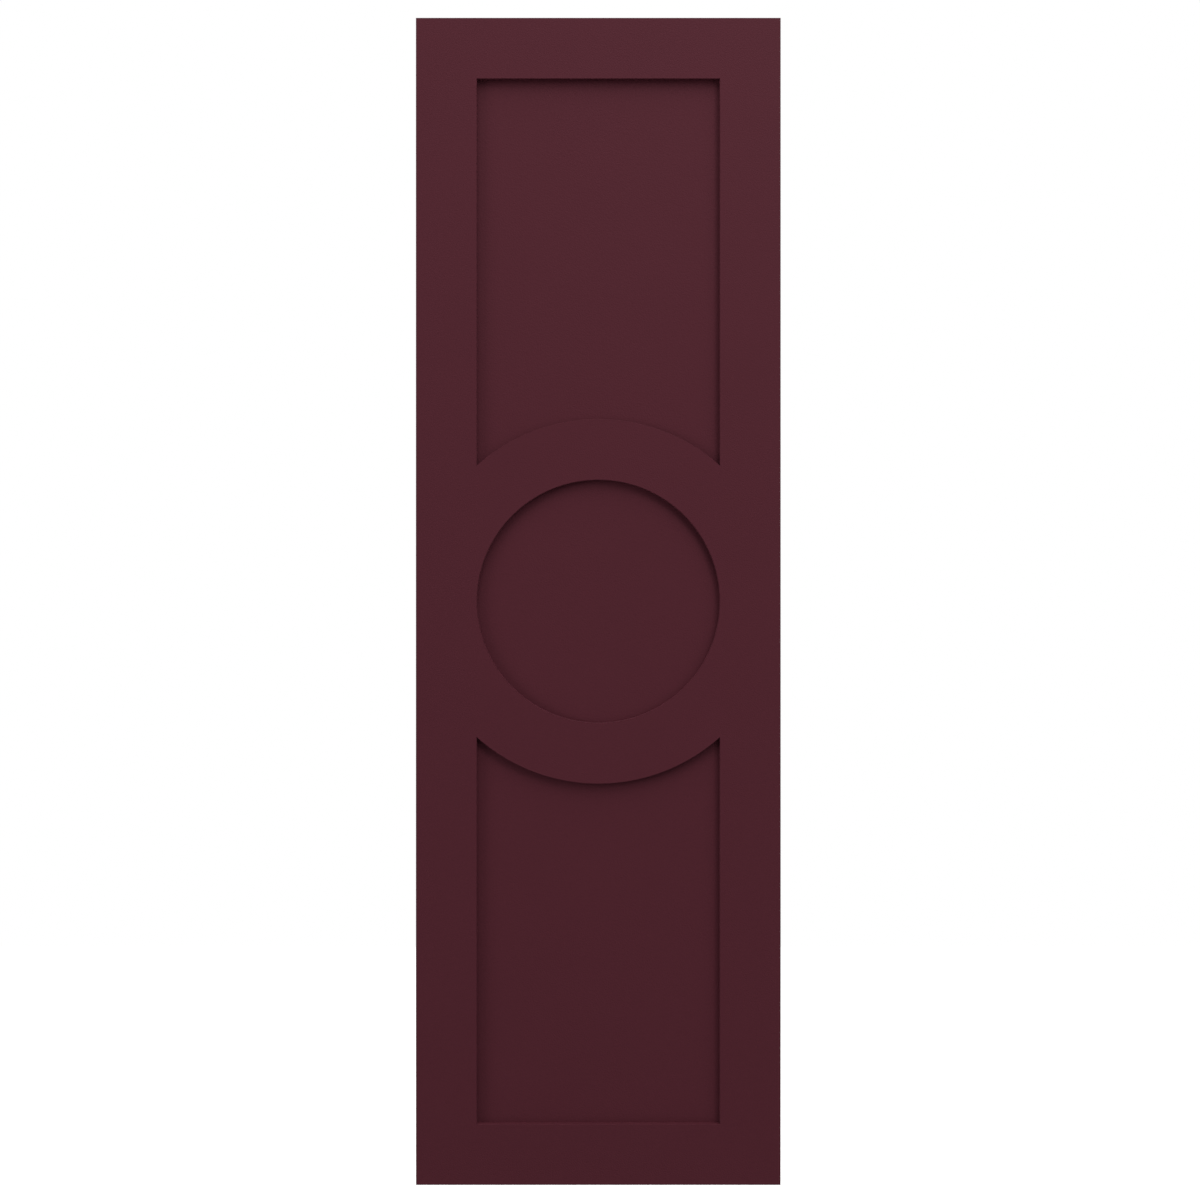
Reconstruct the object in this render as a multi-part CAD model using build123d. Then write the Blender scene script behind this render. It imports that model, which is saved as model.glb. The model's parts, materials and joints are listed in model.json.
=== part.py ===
from build123d import *
import os
from math import sqrt

# Arts and crafts exterior shutter: a frame-and-panel shutter with a ring at mid height.
# Two stiles run the full height and two rails close the ends. Two arched mid rails make
# the ring. Three thin panels sit in grooves, a little behind the face.
# Millimetres, +Z up. The face looks along -Y, the back lies on the wall plane y = 0, and
# the origin is the middle of the bottom edge of the back.

# Overall size
SHUTTER_WIDTH = 381.0
SHUTTER_HEIGHT = 1219.2
FRAME_THICKNESS = 25.4

# Members, as seen from the front
STILE_WIDTH = 63.5
RAIL_WIDTH = 63.5
RING_BAND = 63.5

# Section through a member: the lip in front of the panel is the depth of the recess
FRONT_LIP = 7.94
PANEL_THICKNESS = 6.35
GROOVE_DEPTH = 9.5
GROOVE_PLAY = 0.2
PANEL_GAP = 0.8

# Rail joints: a haunch fills the stile's groove and a tenon goes on into a mortise
TENON_LENGTH = 38.0
TENON_SETBACK = 15.0
TENON_END_GAP = 1.0

# Ring joints: the arches die into the stiles in points that are left this blunt
RING_TIP = 1.0
WEB_TIP = 3.0

# Eased edges
ARRIS = 0.3

# Worked out from the sizes above
HALF_OPENING = SHUTTER_WIDTH / 2 - STILE_WIDTH
RING_INNER = HALF_OPENING
RING_OUTER = RING_INNER + RING_BAND
RING_HEIGHT = SHUTTER_HEIGHT / 2
GROOVE_WIDTH = PANEL_THICKNESS + GROOVE_PLAY
TONGUE_LENGTH = GROOVE_DEPTH - PANEL_GAP
TIP_RISE = sqrt(RING_INNER**2 - (RING_INNER - RING_TIP) ** 2)


def rectangle(left, bottom, right, top):
    """Front-view rectangle between two corners, given as x and z."""
    width, height = right - left, top - bottom
    return Pos((left + right) / 2, (bottom + top) / 2) * Rectangle(width, height)


def disc(radius):
    """Front-view disc about the middle of the ring."""
    return Pos(0, RING_HEIGHT) * Circle(radius)


def board(outline, depth, thickness):
    """Solid with a front-view outline, whose face lies this depth behind the shutter's face."""
    back = -FRAME_THICKNESS + depth + thickness
    plane = Plane(origin=(0, back, 0), x_dir=(1, 0, 0), z_dir=(0, -1, 0))
    return extrude(plane * outline, amount=thickness)


def through(outline):
    """Solid over the whole thickness of the frame."""
    return board(outline, 0, FRAME_THICKNESS)


def groove(outline):
    """What a groove cutter takes out over this outline."""
    return board(outline, FRONT_LIP, GROOVE_WIDTH)


def tongue(outline):
    """Tongue or tenon over this outline, which bears on the front side of the groove."""
    return board(outline, FRONT_LIP, PANEL_THICKNESS)


def mirror_sideways(shape):
    return mirror(shape, about=Plane.YZ)


def mirror_upright(shape):
    return mirror(shape, about=Plane.XY.offset(RING_HEIGHT))


def frame_blank():
    """The whole frame in one piece, with its eased edges, before it is parted into members."""
    outer = rectangle(-SHUTTER_WIDTH / 2, 0, SHUTTER_WIDTH / 2, SHUTTER_HEIGHT)
    window = rectangle(-HALF_OPENING, RAIL_WIDTH, HALF_OPENING, SHUTTER_HEIGHT - RAIL_WIDTH)
    face = outer - (window - disc(RING_OUTER)) - disc(RING_INNER)
    blank = through(face)
    front = blank.faces().sort_by(Axis.Y)[0]
    back = blank.faces().sort_by(Axis.Y)[-1]
    eased = front.edges() + [e for wire in back.inner_wires() for e in wire.edges()]
    return chamfer(eased, ARRIS)


def left_stile(blank):
    """Full-height board with a groove and two mortises, and a thin land that completes the circle."""
    edge = -HALF_OPENING
    outline = rectangle(-SHUTTER_WIDTH / 2, 0, edge, SHUTTER_HEIGHT)
    outline += rectangle(edge, RING_HEIGHT - TIP_RISE, 0, RING_HEIGHT + TIP_RISE)
    stile = blank & through(outline)
    stile -= groove(rectangle(edge - GROOVE_DEPTH, 0, 0, SHUTTER_HEIGHT))
    mortise_end = edge - TENON_LENGTH - TENON_END_GAP
    mortise = groove(rectangle(mortise_end, TENON_SETBACK, edge, RAIL_WIDTH - GROOVE_DEPTH))
    return stile - mortise - mirror_upright(mortise)


def bottom_rail(blank):
    """Rail between the stiles, grooved for the panel, with a haunched tenon on each end."""
    shoulder = HALF_OPENING
    rail = blank & through(rectangle(-shoulder, 0, shoulder, RAIL_WIDTH))
    inner_edge = RAIL_WIDTH - GROOVE_DEPTH
    rail -= groove(rectangle(-shoulder, inner_edge, shoulder, RAIL_WIDTH))
    haunch_end = shoulder + GROOVE_DEPTH
    haunch = tongue(rectangle(shoulder, 0, haunch_end, inner_edge))
    tenon_end = shoulder + TENON_LENGTH
    tenon = tongue(rectangle(haunch_end, TENON_SETBACK, tenon_end, inner_edge))
    joint = haunch + tenon
    return rail + joint + mirror_sideways(joint)


def upper_arch(blank):
    """Upper half of the ring: grooved inside for the round panel and outside for the upper panel."""
    top = RING_HEIGHT + RING_OUTER
    arch = blank & through(rectangle(-HALF_OPENING, RING_HEIGHT + TIP_RISE, HALF_OPENING, top))
    web = disc(RING_OUTER - GROOVE_DEPTH) - disc(RING_INNER + GROOVE_DEPTH)
    arch -= groove(rectangle(-HALF_OPENING, RING_HEIGHT, HALF_OPENING, top) - web)
    # The web runs on past the shoulders as a tenon in each stile's groove.
    web_end = HALF_OPENING + TONGUE_LENGTH
    tip_x = web_end - WEB_TIP
    tip_rise = sqrt((RING_INNER + GROOVE_DEPTH) ** 2 - tip_x**2)
    tenon = tongue(web & rectangle(HALF_OPENING, RING_HEIGHT + tip_rise, web_end, top))
    return arch + tenon + mirror_sideways(tenon)


def upper_panel():
    """Flat panel with a hollow lower edge that follows the ring."""
    side = HALF_OPENING + TONGUE_LENGTH
    top = SHUTTER_HEIGHT - RAIL_WIDTH + TONGUE_LENGTH
    outline = rectangle(-side, RING_HEIGHT, side, top) - disc(RING_OUTER - TONGUE_LENGTH)
    return tongue(outline)


def round_panel():
    """Disc held by the arches and, at its sides, by the stiles."""
    return tongue(disc(RING_INNER + TONGUE_LENGTH))


def build():
    """Every sub-part by its name."""
    blank = frame_blank()
    stile = left_stile(blank)
    rail = bottom_rail(blank)
    arch = upper_arch(blank)
    panel = upper_panel()
    return {
        "left_stile": stile,
        "right_stile": mirror_sideways(stile),
        "top_rail": mirror_upright(rail),
        "bottom_rail": rail,
        "ring_upper_arch": arch,
        "ring_lower_arch": mirror_upright(arch),
        "upper_panel": panel,
        "lower_panel": mirror_upright(panel),
        "round_panel": round_panel(),
    }


os.makedirs("parts", exist_ok=True)
for name, shape in build().items():
    export_step(shape, f"parts/{name}.step")
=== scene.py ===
# %% [markdown]
# # Painting and lighting a fixed shutter
# The shutter arrives finished in shape: two stiles, two rails, two arches that make a ring,
# and three thin panels behind them. This lesson gives it its wine-red satin coat and sets up
# a small photo studio. Nothing is moved, because every board already lies where it belongs.
# First the model is loaded. Its lengths are in metres, Z is up and the face looks along -Y.

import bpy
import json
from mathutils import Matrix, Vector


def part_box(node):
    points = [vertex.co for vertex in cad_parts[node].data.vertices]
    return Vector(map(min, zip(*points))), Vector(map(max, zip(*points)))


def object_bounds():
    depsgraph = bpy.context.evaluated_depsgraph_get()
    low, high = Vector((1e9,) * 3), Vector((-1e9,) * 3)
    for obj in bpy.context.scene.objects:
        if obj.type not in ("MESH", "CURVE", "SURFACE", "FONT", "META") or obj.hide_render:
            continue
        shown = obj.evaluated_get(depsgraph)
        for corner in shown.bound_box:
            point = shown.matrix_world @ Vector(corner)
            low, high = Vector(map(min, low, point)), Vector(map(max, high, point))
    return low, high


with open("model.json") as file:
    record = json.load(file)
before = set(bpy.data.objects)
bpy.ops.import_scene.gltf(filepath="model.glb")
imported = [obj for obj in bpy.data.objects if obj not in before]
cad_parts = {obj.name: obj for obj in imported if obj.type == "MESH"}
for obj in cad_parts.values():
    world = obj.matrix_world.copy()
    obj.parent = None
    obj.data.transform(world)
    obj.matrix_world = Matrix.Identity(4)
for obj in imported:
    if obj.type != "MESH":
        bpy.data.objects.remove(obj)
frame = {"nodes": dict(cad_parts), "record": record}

boards = frame["nodes"]
cad_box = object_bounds()
print("boards:", ", ".join(sorted(boards)))
print("box:", [round(c, 4) for corner in cad_box for c in corner])

# %% [markdown]
# ## Measuring the boards
# The finish darkens the sharp corners and the inner ones as painted shade and makes them duller,
# so it has to know where the corners are. Those places could be typed in by hand, but then the
# finish would go wrong on a shutter of another size. They are read from the boards instead: a
# board's box gives its ends, and the ring's radii are its nearest and farthest points from its
# middle.

# %% Measure the opening and the ring
from math import hypot

MM = 0.001

low, high = cad_box
half_width = high.x
half_height = (high.z - low.z) / 2
ring_height = (high.z + low.z) / 2
face_y = low.y
back_y = high.y


def radii(board):
    """How far each point of a board is from the line through the middle of the ring."""
    return [hypot(v.co.x, v.co.z - ring_height) for v in boards[board].data.vertices]


rail_edge = half_height - (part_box("bottom_rail")[1].z - low.z)
ring_inner = min(radii("ring_upper_arch"))
half_opening = ring_inner
ring_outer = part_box("ring_upper_arch")[1].z - ring_height
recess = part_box("round_panel")[0].y - face_y
print(f"opening {2 * half_opening:.4f} wide, stiles {half_width - half_opening:.4f}")
print(f"ring from {ring_inner:.4f} to {ring_outer:.4f}, recess {recess:.4f} deep")

# %% [markdown]
# ## Writing shader maths as sums
# A material in Blender is a graph of nodes. A mask such as 1 - distance / width is already
# several Math nodes and links, slow to type and hard to read back. A small class that holds
# one output socket does this for us: when Python meets wire * 2 or 1 - wire, it calls a method
# of the class, and that method adds the Math node. The methods whose names start with r are
# the reflected ones, which Python uses when the number comes first.

# %% A wire that does sums
class Wire:
    """One output socket in a node graph. Sums on it add Math nodes."""

    def __init__(self, graph, socket):
        self.graph = graph
        self.socket = socket

    def out(self, name):
        """Another output of the same node."""
        return Wire(self.graph, self.socket.node.outputs[name])

    def maths(self, operation, *values):
        return self.graph.add("Math", {"operation": operation}, dict(enumerate(values)))

    def __add__(self, other):
        return self.maths("ADD", self, other)

    def __sub__(self, other):
        return self.maths("SUBTRACT", self, other)

    def __rsub__(self, other):
        return self.maths("SUBTRACT", other, self)

    def __mul__(self, other):
        return self.maths("MULTIPLY", self, other)

    def __pow__(self, power):
        return self.maths("POWER", self, power)

    def __abs__(self):
        return self.maths("ABSOLUTE", self)

    __radd__ = __add__
    __rmul__ = __mul__


def larger(first, second):
    return first.maths("MAXIMUM", first, second)


def smaller(first, second):
    return first.maths("MINIMUM", first, second)


print("sums that start with a number:", [n for n in vars(Wire) if n.startswith("__r")])

# %% [markdown]
# ## Adding any other node
# Noise, colour mixing and the shader itself aren't sums, so they need a method of their own.
# One is enough for all of them. It takes the type, then the settings, then what goes into the
# sockets. Settings come first because some of them change which sockets a node has.

# %% A graph of nodes
import bpy


class Graph:
    """The node graph of a material or of the world."""

    def __init__(self, owner):
        owner.use_nodes = True
        self.tree = owner.node_tree
        self.tree.nodes.clear()

    def add(self, kind, settings=(), sockets=(), output=0):
        """Adds a node and returns one of its outputs, or None if it has none."""
        node = self.tree.nodes.new("ShaderNode" + kind)
        for name, value in dict(settings).items():
            setattr(node, name, value)
        for name, value in dict(sockets).items():
            if isinstance(value, Wire):
                self.tree.links.new(value.socket, node.inputs[name])
            else:
                node.inputs[name].default_value = value
        return Wire(self, node.outputs[output]) if node.outputs else None


COLOUR_FACTOR, FIRST_COLOUR, SECOND_COLOUR, COLOUR_RESULT = 0, 6, 7, 2


def between(graph, factor, first, second):
    """A colour that goes from the first to the second as the factor goes from 0 to 1."""
    sockets = {COLOUR_FACTOR: factor, FIRST_COLOUR: first, SECOND_COLOUR: second}
    return graph.add("Mix", {"data_type": "RGBA"}, sockets, COLOUR_RESULT)


print("graphs ready")

# %% [markdown]
# ## How far is the nearest corner?
# Effects at an edge all need one number: the distance to the nearest arris, which is what a
# joiner calls a sharp corner. Blender has Bevel and Ambient Occlusion nodes that find corners,
# but a game engine can't run them. The shutter is simple enough to work the distance out. Its
# halves mirror each other, so absolute values fold the whole front into one quarter. There a
# window is bounded by stile, rail and ring, and the largest of three distances is the true one.

# %% Distance across the face
def window_distance(across, upright):
    """Distance in the face's plane to a window's edge: above 0 on a member, below 0 on a panel."""
    radius = (across ** 2 + upright ** 2) ** 0.5
    tall = larger(larger(across - half_opening, upright - rail_edge), ring_outer - radius)
    return smaller(tall, radius - ring_inner)


def rim_distance(across, upright):
    """Distance in the face's plane to the outline of the shutter."""
    return smaller(half_width - across, half_height - upright)


def arris_distance(flat, depth):
    """Distance to the nearest edge line of the face or the back."""
    from_face = ((depth - face_y) ** 2 + flat ** 2) ** 0.5
    from_back = ((depth - back_y) ** 2 + flat ** 2) ** 0.5
    return smaller(from_face, from_back)


def fade(distance, width, start=0.0):
    """A mask that is 1 up to the start and falls smoothly to 0 over this width."""
    sockets = {"Value": distance, "From Min": start, "From Max": start + width}
    sockets |= {"To Min": 1.0, "To Max": 0.0}
    return distance.graph.add("MapRange", {"interpolation_type": "SMOOTHSTEP"}, sockets)


print(f"a quarter of the front is {half_width:.3f} by {half_height:.3f}")

# %% [markdown]
# ## The sprayed coat
# The real shutter is smooth plastic board with a sprayed coat, so there is no grain. Seen close,
# a sprayed coat still isn't flat. Droplets leave a faint orange peel and the film is a little
# uneven. The arrises and the panels' inner corners are a little duller, and their colour is
# darkened there as painted shade. All of this is small, because from two metres away the coat
# looks even. Noise whose scale is one over a size in metres gives each effect its real size, and
# the board's own coordinates hold it in place.

# %% Values of the coat
WINE = (0.0708, 0.0156, 0.0233)
SATIN = 0.55
GLOSS = 0.06
PEEL_SIZE = 1.4 * MM
PEEL_DEPTH = 0.25 * MM
CLOUD_SIZE = 90 * MM
SPECK_SIZE = 0.8 * MM
FILM_SPREAD = 0.05
CLOUD_DULLS, SPECK_DULLS, EDGE_DULLS = 0.10, 0.06, 0.06
# The two shades below are painted shade: they darken the colour along the arrises and in the
# panels' inner corners.
ARRIS_WIDTH, ARRIS_PAINTED_SHADE = 1.0 * MM, 0.84
CORNER_WIDTH, CORNER_PAINTED_SHADE = 6 * MM, 0.94


def shade(colour, factor):
    """A colour made lighter or darker, with the opacity that Blender wants after it."""
    return (*(factor * c for c in colour), 1.0)


def noise(place, size, detail):
    """Noise about 0 whose blotches are about this large."""
    sockets = {"Vector": place, "Scale": 1 / size, "Detail": detail}
    return place.graph.add("TexNoise", sockets=sockets) - 0.5


print("coat colour", WINE, "roughness", SATIN)

# %% [markdown]
# ## One recipe for members and panels
# Members and panels get the same paint, but a member gets painted shade on its arrises, and a
# panel gets painted shade in its inner corners. So one function makes both materials, and the
# mask it is given decides which of the two it becomes. The gloss is the same everywhere, so it is
# set on the shader's own socket, and only colour, roughness and the normal vary.

# %% Make the coat
def sprayed_coat(name, edge_mask, painted_edge_shade):
    """A satin coat. edge_mask turns the folded place into a mask of its arrises or corners,
    darkened as painted shade.
    """
    coat = bpy.data.materials.new(name)
    graph = Graph(coat)
    place = graph.add("TexCoord", output="Object")
    axes = graph.add("SeparateXYZ", sockets={"Vector": place})
    edge = edge_mask(abs(axes), abs(axes.out("Z") - ring_height), axes.out("Y"))
    cloud = noise(place, CLOUD_SIZE, 3.0)
    speck = noise(place, SPECK_SIZE, 1.0)
    thin, thick = shade(WINE, 1 - FILM_SPREAD), shade(WINE, 1 + FILM_SPREAD)
    film = between(graph, cloud * 0.7 + speck * 0.5 + 0.5, thin, thick)
    # Painted shade: the edge mask darkens the colour along the arrises or in the inner corners.
    colour = between(graph, edge * 0.5, film, shade(WINE, painted_edge_shade))
    height = noise(place, PEEL_SIZE, 1.5) * PEEL_DEPTH
    normal = graph.add("Bump", sockets={"Height": height, "Distance": 1.0})
    surface = {
        "Base Color": colour,
        "Roughness": SATIN + cloud * CLOUD_DULLS + speck * SPECK_DULLS + edge * EDGE_DULLS,
        "Specular IOR Level": GLOSS,
        "Normal": normal,
    }
    shader = graph.add("BsdfPrincipled", sockets=surface)
    graph.add("OutputMaterial", sockets={"Surface": shader})
    return coat


def arrises(across, upright, depth):
    flat = smaller(window_distance(across, upright), rim_distance(across, upright))
    return fade(arris_distance(flat, depth), ARRIS_WIDTH)


# This mask marks the panels' inner corners, where the colour is darkened as painted shade.
def inner_corners(across, upright, depth):
    return fade(0 - window_distance(across, upright), CORNER_WIDTH)


# Both masks darken the colour as painted shade and make the coat a little duller.
member_coat = sprayed_coat("wine_red_member_coat", arrises, ARRIS_PAINTED_SHADE)
panel_coat = sprayed_coat("wine_red_panel_coat", inner_corners, CORNER_PAINTED_SHADE)
for coat in (member_coat, panel_coat):
    print(coat.name, len(coat.node_tree.nodes), "nodes")

# %% [markdown]
# ## Painting the boards
# A board keeps its own shape, and its material slot is given the new coat. The packed record
# says which of its two finishes each board has, so nobody has to list the boards again.

# %% Paint every board
COATS = {"frame_finish": member_coat, "panel_finish": panel_coat}

for row in frame["record"]["subparts"]:
    board = boards[row["node"]]
    board.data.materials.clear()
    board.data.materials.append(COATS[row["material_slot"]])
    print(row["node"], "has", board.data.materials[0].name)

# %% [markdown]
# ## The floor
# A shutter hangs beside its window, so the pale floor lies well below it. A pale floor throws
# light back up, and the picture has very little of that. The Light Path node can tell who is
# looking: the camera sees a pale floor, while light that bounces towards the shutter comes from
# a darker one. The lamps leave the far floor grey, so it gets a glow that lifts it to white. The
# glow starts away from the shutter, and the floor under it keeps its soft shadow.

# %% Lay the floor
FLOOR_SIZE = 12.0
FLOOR_DROP = 0.9
FLOOR_PALE = 0.86
FLOOR_DARK = 0.2
NEAR_GLOW = 0.12
FAR_GLOW = 0.85
GLOW_START = 1.0
GLOW_WIDTH = 1.8


def looking(graph):
    """1 for a ray from the camera, a reflection or a clear material, and 0 for bounced light."""
    rays = graph.add("LightPath", output="Is Camera Ray")
    return larger(larger(rays, rays.out("Is Glossy Ray")), rays.out("Is Transmission Ray"))


bpy.ops.mesh.primitive_plane_add(size=FLOOR_SIZE, location=(0, 0, low.z - FLOOR_DROP))
floor = bpy.context.object
floor.name = "floor"
floor_paint = bpy.data.materials.new("pale_floor")
graph = Graph(floor_paint)
dark, pale = shade((1, 1, 1), FLOOR_DARK), shade((1, 1, 1), FLOOR_PALE)
floor_colour = between(graph, looking(graph), dark, pale)
matt = graph.add("BsdfDiffuse", sockets={"Color": floor_colour})
spot = graph.add("SeparateXYZ", sockets={"Vector": graph.add("TexCoord", output="Object")})
near = fade((spot ** 2 + spot.out("Y") ** 2) ** 0.5, GLOW_WIDTH, GLOW_START)
strength = looking(graph) * (FAR_GLOW - near * (FAR_GLOW - NEAR_GLOW))
glow = graph.add("Emission", sockets={"Strength": strength})
graph.add("OutputMaterial", sockets={"Surface": graph.add("AddShader", sockets={0: matt, 1: glow})})
floor.data.materials.append(floor_paint)
print("floor", FLOOR_SIZE, "metres square")

# %% [markdown]
# ## White all round
# Behind the shutter everything is plain white. A bright world would do that, but it would also
# flood the recesses with light from every side. So the world is white for whoever looks at it
# and much dimmer for the light that it sheds.

# %% Set the world
AMBIENT = 0.30

world = bpy.data.worlds.new("white_studio")
bpy.context.scene.world = world
graph = Graph(world)
strength = AMBIENT + (1 - AMBIENT) * looking(graph)
backdrop = graph.add("Background", sockets={"Color": (1, 1, 1, 1), "Strength": strength})
graph.add("OutputWorld", sockets={"Surface": backdrop})
print("ambient light", AMBIENT)

# %% [markdown]
# ## Five softboxes
# The soft shadow under the top rail and the shorter one beside the right stile tell where the
# main light is: above, and somewhat to the right. A large lamp overhead and a smaller one in
# front share that work. A dim one at each side opens up the shadows, and the last one lights
# the back. A lamp's watts say little about brightness, so each lamp gets a share instead: the
# part of the light on the face that comes from it. A white face is just white when the shares
# in front and the ambient light make 1, and then a colour renders about as it is written.

# %% Hang the softboxes
from math import pi, radians, tan

from mathutils import Vector

middle = Vector((0, face_y, ring_height))


def softbox(name, out, up, side, size, share):
    """A square lamp this far in front (behind if out is below 0), at angles up and to the side."""
    reach = abs(out)
    offset = Vector((reach * tan(radians(side)), -out, reach * tan(radians(up))))
    lamp = bpy.data.lights.new(name, "AREA")
    lamp.size = size
    distance = offset.length
    lamp.energy = share * pi ** 2 * distance ** 2 / (reach / distance)
    holder = bpy.data.objects.new(name, lamp)
    holder.location = middle + offset
    holder.rotation_euler = (-offset).to_track_quat("-Z", "Y").to_euler()
    bpy.context.scene.collection.objects.link(holder)
    print(f"{name}: {distance:.2f} m away, {lamp.energy:.0f} W, share {share}")


softbox("top_softbox", out=1.4, up=65, side=12, size=2.4, share=0.34)
softbox("front_softbox", out=2.2, up=36, side=30, size=1.0, share=0.14)
softbox("left_softbox", out=2.6, up=7, side=-61, size=2.4, share=0.14)
softbox("right_softbox", out=2.0, up=5, side=53, size=2.1, share=0.09)
softbox("back_softbox", out=-2.5, up=40, side=20, size=2.0, share=0.50)

# %% [markdown]
# ## The camera
# The picture was taken straight from the front. The shadow line under the top rail is two
# pixels thicker than the one in the ring, because the camera, level with the ring, looks up
# under that rail. That puts it about two metres away. The focal length follows from
# the distance and the shutter's height in pixels, which tells how large one pixel is.

# %% Place the camera
PICTURE = 1200
SHUTTER_PIXELS = 1167.3
SHUTTER_MIDDLE = (598.3, 601.45)
CAMERA_DISTANCE = 1.9

pixel = (high.z - low.z) / SHUTTER_PIXELS
lens = bpy.data.cameras.new("front")
lens.lens = lens.sensor_width * CAMERA_DISTANCE / (PICTURE * pixel)
camera = bpy.data.objects.new("front", lens)
shift_x = (PICTURE / 2 - SHUTTER_MIDDLE[0]) * pixel
shift_z = (SHUTTER_MIDDLE[1] - PICTURE / 2) * pixel
camera.location = middle + Vector((shift_x, -CAMERA_DISTANCE, shift_z))
camera.rotation_euler = (radians(90), 0, 0)
bpy.context.scene.collection.objects.link(camera)
bpy.context.scene.camera = camera
print(f"one pixel is {pixel / MM:.3f} mm on the face, the lens is {lens.lens:.1f} mm")

# %% [markdown]
# ## Before the picture
# Standard is the plainest view of colour: what the shader says is what the picture shows.

# %% Finish
import json

bpy.context.scene.view_settings.view_transform = "Standard"
